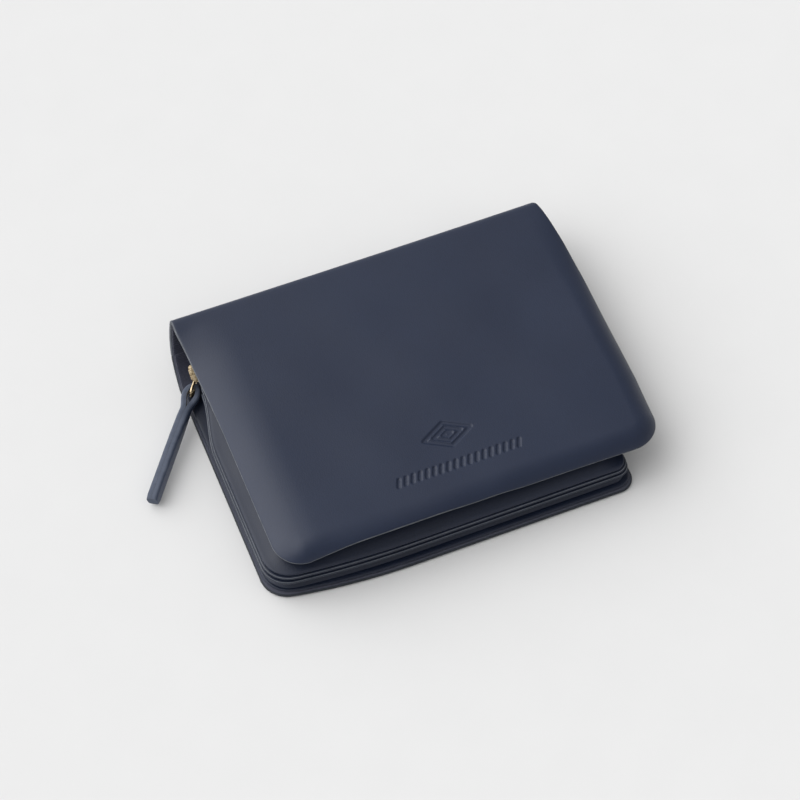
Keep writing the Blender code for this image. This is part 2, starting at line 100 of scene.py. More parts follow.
def unit(vectors):
    """The vectors made one long."""
    return vectors / np.maximum(np.linalg.norm(vectors, axis=-1, keepdims=True), 1e-12)


# ---------------------------------------------------------------- materials

class Nodes:
    """A short way to write one material's node tree."""

    def __init__(self, name):
        self.material = bpy.data.materials.new(name)
        self.material.use_nodes = True
        self.tree = self.material.node_tree
        self.shader = self.tree.nodes["Principled BSDF"]
        self.place = self.add("ShaderNodeTexCoord").outputs["Object"]

    def add(self, kind, **values):
        node = self.tree.nodes.new(kind)
        for key, value in values.items():
            if hasattr(node, key):
                setattr(node, key, value)
            else:
                self.set(node, key, value)
        return node

    def set(self, node, key, value):
        socket = node.inputs[key.replace("_", " ")] if isinstance(key, str) else node.inputs[key]
        if isinstance(value, bpy.types.NodeSocket):
            self.tree.links.new(value, socket)
        else:
            socket.default_value = value

    def noise(self, scale, detail=3.0, roughness=0.5):
        node = self.add("ShaderNodeTexNoise", Vector=self.place)
        self.set(node, "Scale", scale)
        self.set(node, "Detail", detail)
        self.set(node, "Roughness", roughness)
        return node.outputs["Fac"]

    def cells(self, scale, feature="F1"):
        node = self.add("ShaderNodeTexVoronoi", feature=feature, Vector=self.place)
        self.set(node, "Scale", scale)
        return node.outputs["Distance"]

    def math(self, operation, first, second=0.5):
        node = self.add("ShaderNodeMath", operation=operation)
        self.set(node, 0, first)
        self.set(node, 1, second)
        return node.outputs[0]

    def ramp(self, value, stops):
        node = self.add("ShaderNodeValToRGB", Fac=value)
        ramp = node.color_ramp
        while len(ramp.elements) < len(stops):
            ramp.elements.new(0.5)
        for element, (position, colour) in zip(ramp.elements, stops):
            element.position = position
            element.color = (*colour, 1.0) if len(colour) == 3 else colour
        return node.outputs["Color"]

    def grey(self, value, low, high, start=0.0, end=1.0):
        return self.ramp(value, [(start, (low,) * 3), (end, (high,) * 3)])

    def bump(self, height, distance, strength=1.0, normal=None):
        node = self.add("ShaderNodeBump", Height=height, Distance=distance, Strength=strength)
        if normal:
            self.set(node, "Normal", normal)
        return node.outputs["Normal"]

    def finish(self, **values):
        for key, value in values.items():
            self.set(self.shader, key, value)
        return self.material


def leather(name, dark, light, rough=(0.46, 0.58), grain=0.6, gloss=0.4):
    """Fine-grained calf: small pebbles with creases between them, pores, and slow changes of tone."""
    n = Nodes(name)
    pebble = n.cells(1500.0, "DISTANCE_TO_EDGE")
    crease = n.grey(pebble, 0.0, 1.0, 0.0, 0.16)
    fibre = n.noise(900.0, 4.0, 0.6)
    slow = n.noise(38.0, 3.0, 0.55)
    normal = n.bump(slow, 0.00012, 0.5)
    normal = n.bump(fibre, 0.00006, 0.35 * grain, normal)
    normal = n.bump(crease, 0.00005, 0.45 * grain, normal)
    tone = n.math("ADD", n.math("MULTIPLY", slow, 0.75), n.math("MULTIPLY", fibre, 0.25))
    colour = n.ramp(tone, [(0.3, dark), (0.7, light)])
    # The creases between the pebbles are also painted a little darker in the colour: painted shade in the
    # grain.
    mixed = n.add("ShaderNodeMix", data_type="RGBA", blend_type="MULTIPLY")
    n.set(mixed, 0, 0.25)
    n.set(mixed, 6, colour)
    n.set(mixed, 7, n.grey(pebble, 0.45, 1.0, 0.0, 0.12))
    return n.finish(Base_Color=mixed.outputs[2], Roughness=n.grey(slow, *rough, 0.3, 0.7), Normal=normal,
                    Specular_IOR_Level=gloss)


def edge_paint(name, dark, light):
    """The painted cut edge of leather, slightly streaked along its layers."""
    n = Nodes(name)
    streak = n.noise(420.0, 3.0, 0.6)
    colour = n.ramp(streak, [(0.3, dark), (0.72, light)])
    return n.finish(Base_Color=colour, Roughness=n.grey(streak, 0.5, 0.75),
                    Normal=n.bump(streak, 0.00015, 0.5), Specular_IOR_Level=0.35)


def suede(name, dark, light):
    """The flesh side of leather: short, matt nap."""
    n = Nodes(name)
    nap = n.noise(1400.0, 5.0, 0.75)
    patch = n.noise(90.0, 3.0, 0.6)
    tone = n.math("ADD", n.math("MULTIPLY", nap, 0.55), n.math("MULTIPLY", patch, 0.45))
    return n.finish(Base_Color=n.ramp(tone, [(0.34, dark), (0.66, light)]), Roughness=0.95,
                    Normal=n.bump(nap, 0.00018, 0.7), Specular_IOR_Level=0.15, Sheen_Weight=0.3,
                    Sheen_Roughness=0.6)


def woven(name, dark, light, pitch):
    """Plain weave: two crossed sets of threads, by waves along the piece's own axes."""
    n = Nodes(name)
    threads = []
    for direction in ("X", "Y"):
        wave = n.add("ShaderNodeTexWave", bands_direction=direction, Vector=n.place)
        n.set(wave, "Scale", 1.0 / (pitch * MM) / 3.1831)
        n.set(wave, "Distortion", 0.6)
        threads.append(wave.outputs["Fac"])
    weave = n.math("MULTIPLY", threads[0], threads[1])
    fuzz = n.noise(1600.0, 3.0, 0.6)
    tone = n.math("ADD", n.math("MULTIPLY", weave, 0.7), n.math("MULTIPLY", fuzz, 0.3))
    return n.finish(Base_Color=n.ramp(tone, [(0.1, dark), (0.75, light)]), Roughness=0.85,
                    Normal=n.bump(weave, 0.0002, 0.7), Specular_IOR_Level=0.2, Sheen_Weight=0.15)


def brass(name):
    """Pale brass, speckled bright and dull, and dark where it has tarnished."""
    n = Nodes(name)
    speck = n.noise(2600.0, 4.0, 0.7)
    haze = n.noise(400.0, 3.0, 0.6)
    tarnish, dull, bright = (0.13, 0.09, 0.05), (0.55, 0.44, 0.28), (0.78, 0.66, 0.48)
    colour = n.ramp(speck, [(0.40, tarnish), (0.52, dull), (0.7, bright)])
    return n.finish(Base_Color=colour, Metallic=1.0, Roughness=n.grey(haze, 0.2, 0.42, 0.3, 0.7),
                    Normal=n.bump(speck, 0.00004, 0.5))


GRAIN = leather("cover_grain", (0.0030, 0.0092, 0.0310), (0.0046, 0.0122, 0.0375),
                rough=(0.40, 0.48), gloss=0.43)
# The leather of the pockets, of the back's lining and of the pockets' lower edges: a darker copy of the
# cover's leather, as painted shade for their place under the flap.
SHADED_POCKET_GRAIN = leather("pocket_grain_painted_shade", (0.0040, 0.0086, 0.0240), (0.0060, 0.0116, 0.0300),
                       rough=(0.40, 0.52), gloss=0.42)
# The pull's leather: a much lighter copy of the cover's leather, as a painted highlight along the strap.
LIT_STRAP_GRAIN = leather("strap_grain_painted_highlight", (0.0390, 0.0580, 0.1040), (0.0510, 0.0700, 0.1240),
                      rough=(0.30, 0.40), gloss=0.55)
PAINT = edge_paint("painted_edge", (0.055, 0.062, 0.075), (0.115, 0.124, 0.140))
# The back's cut edges: a darker copy of the edge paint, as painted shade along the base's front and sides.
SHADED_BACK_EDGE_PAINT = edge_paint("back_edge_painted_shade", (0.008, 0.011, 0.017), (0.020, 0.025, 0.035))
STRAP_PAINT = edge_paint("strap_edge", (0.040, 0.052, 0.082), (0.070, 0.084, 0.118))
SUEDE = suede("flesh_side", (0.036, 0.040, 0.062), (0.070, 0.074, 0.104))
DARK_SUEDE = suede("pocket_flesh_side", (0.020, 0.022, 0.030), (0.035, 0.038, 0.050))
BROWN_SUEDE = suede("strap_flesh_side", (0.016, 0.010, 0.008), (0.036, 0.024, 0.019))
LINING_CLOTH = woven("lining_cloth", (0.018, 0.020, 0.034), (0.038, 0.041, 0.064), 0.35)
TAPE_CLOTH = woven("zip_tape_cloth", (0.010, 0.012, 0.020), (0.026, 0.030, 0.046), 0.45)
FOAM = suede("padding_felt", (0.30, 0.30, 0.31), (0.45, 0.45, 0.46))
BRASS = brass("tarnished_brass")


# ---------------------------------------------------------------- meshes

def make(name, points, faces, materials, groups=None, smooth_angle=50):
    """A mesh object with its faces pointing out; groups gives each face's material."""
    mesh = bpy.data.meshes.new(name)
    places = np.asarray(points, float) * MM
    mesh.from_pydata(places.tolist(), [], [list(map(int, face)) for face in faces])
    for item in materials:
        mesh.materials.append(item)
    if groups is not None:
        mesh.polygons.foreach_set("material_index", np.asarray(groups, dtype=np.int32))
    solid = bmesh.new()
    solid.from_mesh(mesh)
    bmesh.ops.recalc_face_normals(solid, faces=solid.faces)
    solid.to_mesh(mesh)
    solid.free()
    mesh.shade_smooth()
    mesh.set_sharp_from_angle(angle=math.radians(smooth_angle))
    mesh.validate()
    item = bpy.data.objects.new(name, mesh)
    scene.collection.objects.link(item)
    return item


def lines(start, *zones):
    """Grid lines from start through each (end, step) zone."""
    found = [start]
    for end, step in zones:
        count = max(1, round((end - found[-1]) / step))
        found += list(np.linspace(found[-1], end, count + 1)[1:])
    return np.array(found)


def panel_lines(panel, rear, inset=0.0, fine=0.8, coarse=4.0):
    """Grid lines for a panel, close together round its corners."""
    left, right, front = panel[0] + inset, panel[1] - inset, panel[2] + inset
    xs = lines(left, (left + CORNER, fine), (right - CORNER, coarse), (right, fine))
    ys = lines(front, (front + CORNER, fine), (rear, coarse))
    return xs, ys


def rounded(xs, ys, panel, inset=0.0):
    """The grid of points with its two square front corners made round."""
    left, right, front = panel[0] + inset, panel[1] - inset, panel[2] + inset
    x, y = np.meshgrid(xs, ys, indexing="ij")
    to_left = x - left < right - x
    radius = np.where(to_left, panel[3], panel[4])
    across = np.clip(1.0 - np.where(to_left, x - left, right - x) / radius, 0.0, 1.0)
    down = np.clip(1.0 - (y - front) / radius, 0.0, 1.0)
    reach_across = across * np.sqrt(1.0 - 0.5 * down * down)
    reach_down = down * np.sqrt(1.0 - 0.5 * across * across)
    px = np.where(to_left, left + radius - radius * reach_across, right - radius + radius * reach_across)
    px = np.where(across > 0, px, x)
    py = np.where(down > 0, front + radius * (1.0 - reach_down), y)
    return px, py - front_bow(px, py, panel)


BOW_START, BOW_LENGTH, BOW_DEPTH = 7.3, 36.0, 30.0


def front_bow(x, y, panel):
    """How far the front edge comes forward past the left corner, and less of what lies behind it."""
    along = np.clip((x - panel[0] - BOW_START) / BOW_LENGTH, 0.0, 1.0)
    return panel[5] * along * (2.0 - along) * (1.0 - smooth((y - panel[2]) / BOW_DEPTH))


def to_edge(x, y, panel):
    """Distance to the free left, right or front edge, up to the corner's radius."""
    left, right, front = panel[:3]
    front = front - front_bow(x, y, panel)
    across = np.maximum(0.0, CORNER - np.minimum(x - left, right - x))
    down = np.maximum(0.0, CORNER - (y - front))
    return CORNER - np.hypot(across, down)


def slab(name, outer, normals, thick, materials, bulge=0.35, rows=5):
    """A sheet of leather from a grid of outer points: outer face, round cut edge, inner face.
    The materials are outer, edge and inner, and a fourth takes all of the edge but its upper rim, so that the
    edge colour shows only as a thin line along the rim: a painted highlight, with painted shade below it."""
    nu, nv = outer.shape[:2]
    thick = np.broadcast_to(np.asarray(thick, float), (nu, nv))[..., None]
    inner = outer - normals * thick
    rim = [(i, 0) for i in range(nu)] + [(nu - 1, j) for j in range(1, nv)]
    rim += [(i, nv - 1) for i in range(nu - 2, -1, -1)] + [(0, j) for j in range(nv - 2, 0, -1)]
    ri, rj = np.array(rim).T
    edge, edge_normal, edge_thick = outer[ri, rj], normals[ri, rj], thick[ri, rj]
    tangent = unit(np.roll(edge, -1, 0) - np.roll(edge, 1, 0))
    outward = unit(np.cross(tangent, edge_normal))
    points = [outer.reshape(-1, 3), inner.reshape(-1, 3)]
    middle = edge - edge_normal * edge_thick / 2
    rings = [ri * nv + rj]
    base = 2 * nu * nv
    for row in range(1, rows):
        angle = math.pi * row / rows
        points.append(middle + edge_normal * edge_thick / 2 * math.cos(angle)
                      + outward * edge_thick * bulge * math.sin(angle))
        rings.append(base + np.arange(len(rim)))
        base += len(rim)
    rings.append(nu * nv + ri * nv + rj)
    quads = np.arange(nu * nv).reshape(nu, nv)
    top = np.stack([quads[:-1, :-1], quads[1:, :-1], quads[1:, 1:], quads[:-1, 1:]], -1).reshape(-1, 4)
    faces = [top, top[:, ::-1] + nu * nv]
    groups = [np.zeros(len(top)), np.full(len(top), 2)]
    for row, (first, second) in enumerate(zip(rings, rings[1:])):
        faces.append(np.stack([first, second, np.roll(second, -1), np.roll(first, -1)], -1))
        # With a fourth material only the upper rim keeps the edge colour: a painted highlight along the rim,
        # the rest of the edge painted shade.
        groups.append(np.full(len(first), 1 if row == 0 or len(materials) == 3 else 3))
    return make(name, np.concatenate(points), np.concatenate(faces), materials, np.concatenate(groups))


def normals_of_height(x, y, height):
    """Upward normals of the surface z = height(x, y)."""
    step = 0.05
    slope_x = (height(x + step, y) - height(x - step, y)) / (2 * step)
    slope_y = (height(x, y + step) - height(x, y - step)) / (2 * step)
    return unit(np.stack([-slope_x, -slope_y, np.ones_like(x)], -1))


def flat_panel(name, panel, rear, top, thick, materials, shift=None, height=None, inset=0.0, coarse=4.0):
    """A leather panel lying flat, with round front corners; shift moves its sides in."""
    xs, ys = panel_lines(panel, rear, inset, coarse=coarse)
    x, y = rounded(xs, ys, panel, inset)
    if shift:
        middle = 0.5 * (panel[0] + panel[1])
        x = middle + (x - middle) * (1.0 - 2.0 * shift(y) / (panel[1] - panel[0]))
    surface = height or (lambda px, py: np.full_like(px, top))
    outer = np.stack([x, y, surface(x, y)], -1)
    return slab(name, outer, normals_of_height(x, y, surface), thick, materials)


MOUTH_INSET, MOUTH_START, MOUTH_LENGTH = 4.0, 2.0, 24.0


def mouth_inset(y):
    """How far a pocket's sides come in towards its mouth."""
    return MOUTH_INSET * smooth((y - MOUTH_START) / MOUTH_LENGTH)


def place_on(item, body, slot, *nodes):
    """Say what body a piece rides on and which CAD nodes it replaces; slot is not used."""
    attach(item, body)
    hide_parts(*nodes)
    return item


# ---------------------------------------------------------------- cover

def waves(x, y, height, seed):
    """Slow, shallow unevenness, as soft leather has."""
    total = np.zeros_like(x)
    for index in range(5):
        turn = 1.9 * index + seed
        length = 26.0 + 9.0 * index
        total += np.sin((x * math.cos(turn) + y * math.sin(turn)) * math.tau / length + 2.3 * index + seed)
    return total * height / 3.0


def near_segment(x, y, start, end):
    """Distance to a straight stroke."""
    dx, dy = end[0] - start[0], end[1] - start[1]
    along = np.clip(((x - start[0]) * dx + (y - start[1]) * dy) / (dx * dx + dy * dy), 0.0, 1.0)
    return np.hypot(x - start[0] - along * dx, y - start[1] - along * dy)


def lozenge(x, y, centre, half_x, half_y):
    """Distance to the outline of a lozenge."""
    tips = [(centre[0] + half_x, centre[1]), (centre[0], centre[1] + half_y),
            (centre[0] - half_x, centre[1]), (centre[0], centre[1] - half_y)]
    return np.minimum.reduce([near_segment(x, y, tips[k], tips[(k + 1) % 4]) for k in range(4)])


PRESS_DEPTH, PRESS_SLOPE = 0.38, 0.45


def deboss(x, y):
    """A pressed ornament: nested lozenges over a hatched border of short slanted strokes."""
    centre = (5.0, -21.6)
    strokes = [(lozenge(x, y, centre, *halves), 0.34) for halves in ((7.2, 4.1), (4.2, 2.3), (1.3, 0.7))]
    for index in range(18):
        foot = -14.6 + 2.2 * index
        strokes.append((near_segment(x, y, (foot, -33.1), (foot + 0.9, -30.9)), 0.30))
    depth = np.zeros_like(x)
    for near, half in strokes:
        depth = np.maximum(depth, smooth(1.0 - (near - half) / PRESS_SLOPE))
    return PRESS_DEPTH * depth


ROLL_WIDTHS = (9.0, 7.5, 6.5)                 # of the left, right and front edges
CROWN_DROP, CROWN_WIDTH = 3.2, 14.0           # how the padded flap falls away to its left edge
PINCH_DEPTH, PINCH_X, PINCH_Y = 0.2, -51.0, 41.5


def flap_height(x, y):
    """The flap's outer face: flat top, free edges rolled down, a little unevenness."""
    gaps = (x - FLAP[0], FLAP[1] - x, y - FLAP[2])
    shares = [np.clip(1.0 - gap / CORNER, 0.0, 1.0) ** 2 + 1e-9 for gap in gaps]
    drops = (curve(y, LEFT_DROP), curve(y, RIGHT_DROP), curve(x, FRONT_DROP))
    total = sum(shares)
    drop = sum(share * each for share, each in zip(shares, drops)) / total
    width = sum(share * each for share, each in zip(shares, ROLL_WIDTHS)) / total
    reach = np.clip(1.0 - to_edge(x, y, FLAP) / width, 0.0, 1.0)
    rolled = drop * (1.0 - np.sqrt(1.0 - (0.93 * reach) ** 2)) / 0.632
    pinch = PINCH_DEPTH * np.exp(-((x - PINCH_X) ** 2 / 20.0 + (y - PINCH_Y) ** 2 / 9.0))
    crown = CROWN_DROP * np.clip(1.0 - (x - FLAP[0]) / CROWN_WIDTH, 0.0, 1.0) ** 2 * smooth((47.0 - y) / 21.0)
    level = FLAP_TOP - crown + waves(x, y, 0.16, 0.4) * smooth((42.0 - y) / 14.0)
    return level - rolled - deboss(x, y) - pinch * smooth((44.5 - y) / 2.0)


def side_shift(points, way, xs_share):
    """Move the cover's sides to its real edges, whose place depends on the way along the cover."""
    left = curve(way, LEFT_EDGE, 1.0)
    right = curve(way, RIGHT_EDGE, 1.0)
    from_left = left - FLAP[0]
    from_right = right - FLAP[1]
    share = xs_share[:, None]
    points[..., 0] += (1.0 - share) ** 3 * from_left + share ** 3 * from_right
    points[..., 1] += 0.8 * share ** 2 * smooth((way - 20.0) / 20.0) * smooth((75.0 - way) / 20.0)
    return points


def spine_points(parts, side_inset, xs_share):
    """Outer points and normals of the spine at these parts of its quarter ellipse."""
    angle = 0.5 * math.pi * parts
    y = SPINE_START_Y + SPINE_DEPTH * np.sin(angle)
    z = SPINE_TOP * (1.0 - np.cos(angle))
    way = FOLD_Y + FOLD_ARC + (1.0 - parts) * SPINE_ARC
    left = FLAP[0] + side_inset
    right = FLAP[1] - side_inset
    x = np.repeat((left + xs_share * (right - left))[:, None], len(parts), 1)
    points = np.stack([x, np.broadcast_to(y, x.shape), np.broadcast_to(z, x.shape)], -1)
    normal = unit(np.stack([0 * angle, np.sin(angle) * SPINE_TOP, -np.cos(angle) * SPINE_DEPTH], -1))
    return side_shift(points, way[None, :], xs_share), np.broadcast_to(normal, points.shape)


def front_skin(inset, xs, ys, height=flap_height):
    """Outer points and normals from the flap's front edge, over the fold, to the seam on the spine."""
    x, y = rounded(xs, ys, FLAP, inset)
    flat = np.stack([x, y, height(x, y)], -1)
    flat_normals = normals_of_height(x, y, height)
    turn = np.radians(np.arange(81, -1, -9.0))
    share = (xs - xs[0]) / (xs[-1] - xs[0])
    flat = side_shift(flat, y, share)
    fold_y = FOLD_Y + FOLD_RADIUS * np.cos(turn)
    fold_z = SPINE_TOP + FOLD_RADIUS * np.sin(turn)
    fold = np.stack([np.repeat(xs[:, None], len(turn), 1), np.broadcast_to(fold_y, (len(xs), len(turn))),
                     np.broadcast_to(fold_z, (len(xs), len(turn)))], -1)
    fold = side_shift(fold, (FOLD_Y + (0.5 * math.pi - turn) * FOLD_RADIUS)[None, :], share)
    radial = np.stack([0 * turn, np.cos(turn), np.sin(turn)], -1)
    spine, spine_normals = spine_points(np.linspace(1.0, SEAM, 14)[1:], inset, share)
    points = np.concatenate([flat, fold, spine], 1)
    normals = np.concatenate([flat_normals, np.broadcast_to(radial, fold.shape), spine_normals], 1)
    return points, normals


def back_skin(inset, xs, ys):
    """Outer points and normals from the back's front edge to the seam on the spine, face down."""
    x, y = rounded(xs, ys, BACK, inset)
    flat = np.stack([x, y, np.zeros_like(x)], -1)
    share = (xs - xs[0]) / (xs[-1] - xs[0])
    spine, spine_normals = spine_points(np.linspace(0.0, SEAM, 16)[1:], inset, share)
    points = np.concatenate([flat, spine], 1)
    normals = np.concatenate([np.broadcast_to([0.0, 0.0, -1.0], flat.shape), spine_normals], 1)
    return points[::-1], normals[::-1]


def offset(points, normals, depth):
    """The points moved in along their normals."""
    return points - normals * np.asarray(depth)[..., None]


def bend_back(item):
    """Bake the transform of a skin between the back and the spine into its mesh."""
    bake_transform(item)


def bend_front(item):
    """Bake the transform of a skin between the spine and the flap into its mesh."""
    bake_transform(item)


COVER_SET = [GRAIN, PAINT, SUEDE]

# Grid lines lie close together at the rolled edges and closest over the ornament
xs = lines(FLAP[0] + EDGE_BULGE, (-45.8, 0.5), (-16.0, 1.4), (25.5, 0.2), (56.0, 1.4),
           (FLAP[1] - EDGE_BULGE, 0.5))
ys = lines(FLAP[2] + EDGE_BULGE, (-36.0, 0.4), (-34.2, 0.45), (-30.0, 0.2), (-26.5, 0.4), (-16.5, 0.2),
           (FOLD_Y, 1.4))
points, normals = front_skin(EDGE_BULGE, xs, ys)
flap = slab("flap_and_upper_spine", points, normals, COVER, COVER_SET)
bend_front(flap)
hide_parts("front_cover", "spine_cover")

xs, ys = panel_lines(BACK, SPINE_START_Y, EDGE_BULGE, 0.6, 3.0)
points, normals = back_skin(EDGE_BULGE, xs, ys)
back = slab("back_and_lower_spine", points, normals, COVER, [GRAIN, SHADED_BACK_EDGE_PAINT, SUEDE])
bend_back(back)
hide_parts("back_cover", "spine_cover")

LINING_SET = [LINING_CLOTH] * 3
FRONT_LINING_INSET, BACK_LINING_INSET = 0.9, 1.1
PADDING_ROOM = 1.34                           # between the flap's leather and its lining, away from the edges

xs = lines(FLAP[0] + FRONT_LINING_INSET, (-45.8, 0.8), (56.0, 2.5), (FLAP[1] - FRONT_LINING_INSET, 0.8))
ys = lines(FLAP[2] + FRONT_LINING_INSET, (-36.0, 0.8), (FOLD_Y, 2.5))
points, normals = front_skin(FRONT_LINING_INSET, xs, ys, lambda x, y: flap_height(x, y) + deboss(x, y))
from_edge = to_edge(points[..., 0], points[..., 1], FLAP)
depth = COVER + 0.06 + PADDING_ROOM * smooth(from_edge / 7.0) * smooth((40.0 - points[..., 1]) / 6.0)
front_lining = slab("front_lining_cloth", offset(points, normals, depth), normals, LINING, LINING_SET)
bend_front(front_lining)
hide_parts("front_lining", "spine_lining")

# The back's lining is leather under the pockets and cloth up the spine
xs, ys = panel_lines(BACK, SPINE_START_Y, BACK_LINING_INSET, 0.8, 3.0)
points, normals = back_skin(BACK_LINING_INSET, xs, ys)
under_cover = offset(points, normals, np.full(points.shape[:2], COVER + 0.3))
back_lining = slab("back_lining_cloth", under_cover, normals, BACK_LINING, [SHADED_POCKET_GRAIN] * 3)
back_lining.data.materials.append(LINING_CLOTH)
for polygon in back_lining.data.polygons:
    if polygon.center.y > 0.030:
        polygon.material_index = 3
bend_back(back_lining)
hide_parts("back_lining", "spine_lining")

# ---------------------------------------------------------------- pockets

# Leather sets by outer face, edge and inner face, and the pockets' places by their rears and tops
# The fourth, the dark pocket leather, covers the edges below their upper rim: painted shade under a painted
# highlight.
POCKET_SET = [SHADED_POCKET_GRAIN, PAINT, DARK_SUEDE, SHADED_POCKET_GRAIN]
GUSSET_SET = [SHADED_POCKET_GRAIN, SHADED_POCKET_GRAIN, DARK_SUEDE]
CARD_SET = [DARK_SUEDE, SHADED_POCKET_GRAIN, GRAIN]
POUCH_RIM, POUCH_TOP, MOUTH_LIFT = 9.9, 12.2, 1.9
POUCH_REAR, NOTE_REAR, GUSSET_REAR = 26.2, 25.0, 24.0
POUCH_REAR_TOP, NOTE_TOP, GUSSET_LOW, GUSSET_HIGH, GUSSET_FOLD = 8.8, 7.2, 2.9, 6.1, 1.2


def pouch_height(x, y):
    """The pouch's padded front wall: rim sewn down, middle raised, mouth lifted over the zip."""
    mouth = smooth((y - 12.0) / 12.0)
    rise = np.maximum(mouth, smooth(to_edge(x, y, POCKET) / CORNER))
    top = POUCH_TOP + MOUTH_LIFT * smooth((y - 18.0) / 12.0)
    return POUCH_RIM + (top - POUCH_RIM) * rise + waves(x, y, 0.10, 1.7)


pouch = flat_panel("pouch_front_leather", POCKET, SPINE_START_Y, 0.0, POUCH_LEATHER, GUSSET_SET, mouth_inset,
                   pouch_height, inset=0.9, coarse=1.5)
place_on(pouch, "back", "pocket_leather", "pouch_front_wall")
rear_wall = flat_panel("pouch_rear_leather", POCKET, POUCH_REAR, POUCH_REAR_TOP, POCKET_LEATHER, POCKET_SET,
                       mouth_inset, inset=0.4)
place_on(rear_wall, "back", "pocket_leather", "pouch_rear_wall")
note = flat_panel("note_pocket_leather", POCKET, NOTE_REAR, NOTE_TOP, POCKET_LEATHER, POCKET_SET, mouth_inset)
place_on(note, "back", "pocket_leather", "note_panel")
DIVIDER = (-45.6, 43.4, -34.2, CORNER, CORNER, 0.0)
divider = flat_panel("pouch_divider_cloth", DIVIDER, 20.0, 10.0, 0.4, LINING_SET)
place_on(divider, "back", "lining", "pouch_divider")


def side_path(panel, inset, rear):
    """Points round a panel's left side, front and right side, from rear to rear."""
    left, right, front = panel[0] + inset, panel[1] - inset, panel[2] + inset
    near, far = panel[3], panel[4]
    turn = np.radians(np.linspace(180.0, 270.0, 13))
    path = [(left, y) for y in np.linspace(rear, front + near, 40)]
    path += [(left + near * (1 + math.cos(a)), front + near * (1 + math.sin(a))) for a in turn[1:]]
    path += [(x, front) for x in np.linspace(left + near, right - far, 40)[1:]]
    path += [(right - far - far * math.cos(a), front + far * (1 + math.sin(a))) for a in turn[::-1][1:]]
    path += [(right, y) for y in np.linspace(front + far, rear, 40)[1:]]
    path = np.array(path)
    path[:, 1] -= front_bow(path[:, 0], path[:, 1], panel)
    middle = 0.5 * (panel[0] + panel[1])
    share = 1.0 - 2.0 * mouth_inset(path[:, 1]) / (panel[1] - panel[0])
    path[:, 0] = middle + (path[:, 0] - middle) * share
    return path


def gusset(name, low, high, fold, thick):
    """A folded side wall: out at its two edges, in at its middle."""
    path = side_path(POCKET, 0.6, GUSSET_REAR)
    tangent = unit(np.gradient(path, axis=0))
    inward = np.stack([-tangent[:, 1], tangent[:, 0]], -1)
    parts = np.linspace(0.0, 1.0, 11)
    depth = fold * np.sin(math.pi * parts) ** 0.8
    outer = np.empty((len(path), len(parts), 3))
    outer[..., :2] = path[:, None, :] + inward[:, None, :] * depth[None, :, None]
    outer[..., 2] = low + (high - low) * parts[None, :]
    along = np.gradient(outer, axis=0)
    up = np.gradient(outer, axis=1)
    return slab(name, outer, unit(np.cross(along, up)), thick, GUSSET_SET)


note_gusset = gusset("note_gusset_leather", GUSSET_LOW, GUSSET_HIGH, GUSSET_FOLD, GUSSET_LEATHER)
place_on(note_gusset, "back", "pocket_leather", "note_gusset")

# ---------------------------------------------------------------- inside of the flap

pad_outline = (FLAP[0] + FLAP_INSET, FLAP[1] - FLAP_INSET, FLAP[2] + FLAP_INSET, CORNER, CORNER, 0.0)
pad = flat_panel("flap_padding_felt", pad_outline, 30.0, 0.0, 0.8, [FOAM] * 3, None,
                 lambda x, y: 16.5 + waves(x, y, 0.05, 0.4), coarse=3.0)
place_on(pad, "front", "padding", "front_padding")

slot_outline = (FLAP[0] + SLOT_INSET, FLAP[1] - SLOT_INSET, FLAP[2] + FLAP_INSET, CORNER, CORNER, 0.0)
SLOT_TOP, SLOT_DROP, SLOT_REAR, SLOT_STEP = 14.4, 0.7, 14.0, 11.0
for index in range(3):
    top = SLOT_TOP - SLOT_DROP * index
    rear = SLOT_REAR - SLOT_STEP * index
    card = flat_panel(f"card_slot_leather_{index + 1}", slot_outline, rear, top, SLOT_LEATHER, CARD_SET)
    place_on(card, "front", "pocket_leather", f"card_slot_{index + 1}")

# ---------------------------------------------------------------- zip

ZIP_Y, ZIP_Z, ZIP_LEAN = 30.6, 10.2, math.radians(37)
ZIP_LEFT, ZIP_RIGHT, PITCH = -54.0, 47.0, 2.6
ACROSS = np.array([0.0, math.cos(ZIP_LEAN), math.sin(ZIP_LEAN)])
OUT = np.array([0.0, math.sin(ZIP_LEAN), -math.cos(ZIP_LEAN)])


def zip_place(along, across, out):
    """Points by their place along the chain, across the tape (up) and out of the pouch."""
    along, across, out = np.broadcast_arrays(np.asarray(along, float), across, out)
    point = np.stack([along, np.full_like(along, ZIP_Y), np.full_like(along, ZIP_Z)], -1)
    return point + across[..., None] * ACROSS + out[..., None] * OUT


for name, side in (("front", 1), ("rear", -1)):
    xs = lines(ZIP_LEFT - 1.0, (ZIP_RIGHT + 1.0, 1.5))
    across = np.linspace(1.0, 3.4, 8)
    x, a = np.meshgrid(xs, across * side, indexing="ij")
    ripple = 0.12 * np.sin(x * 0.21 + side) * (np.abs(a) / 3.4)
    if side < 0:
        x, a, ripple = x[:, ::-1], a[:, ::-1], ripple[:, ::-1]
    tape = slab(f"zip_tape_cloth_{name}", zip_place(x, a, 0.25 + ripple), np.broadcast_to(OUT, (*x.shape, 3)),
                0.5, [TAPE_CLOTH] * 3)
    place_on(tape, "back", "zip_tape", f"zip_tape_{name}")


def loft(sections, faces_start=0):
    """Faces that join equal rings of points, and close the first and the last."""
    count = len(sections[0])
    faces = []
    for row in range(len(sections) - 1):
        for k in range(count):
            a = faces_start + row * count + k
            b = faces_start + row * count + (k + 1) % count
            faces.append((a, b, b + count, a + count))
    last = faces_start + (len(sections) - 1) * count
    faces.append(tuple(range(faces_start + count - 1, faces_start - 1, -1)))
    faces.append(tuple(range(last, last + count)))
    return faces


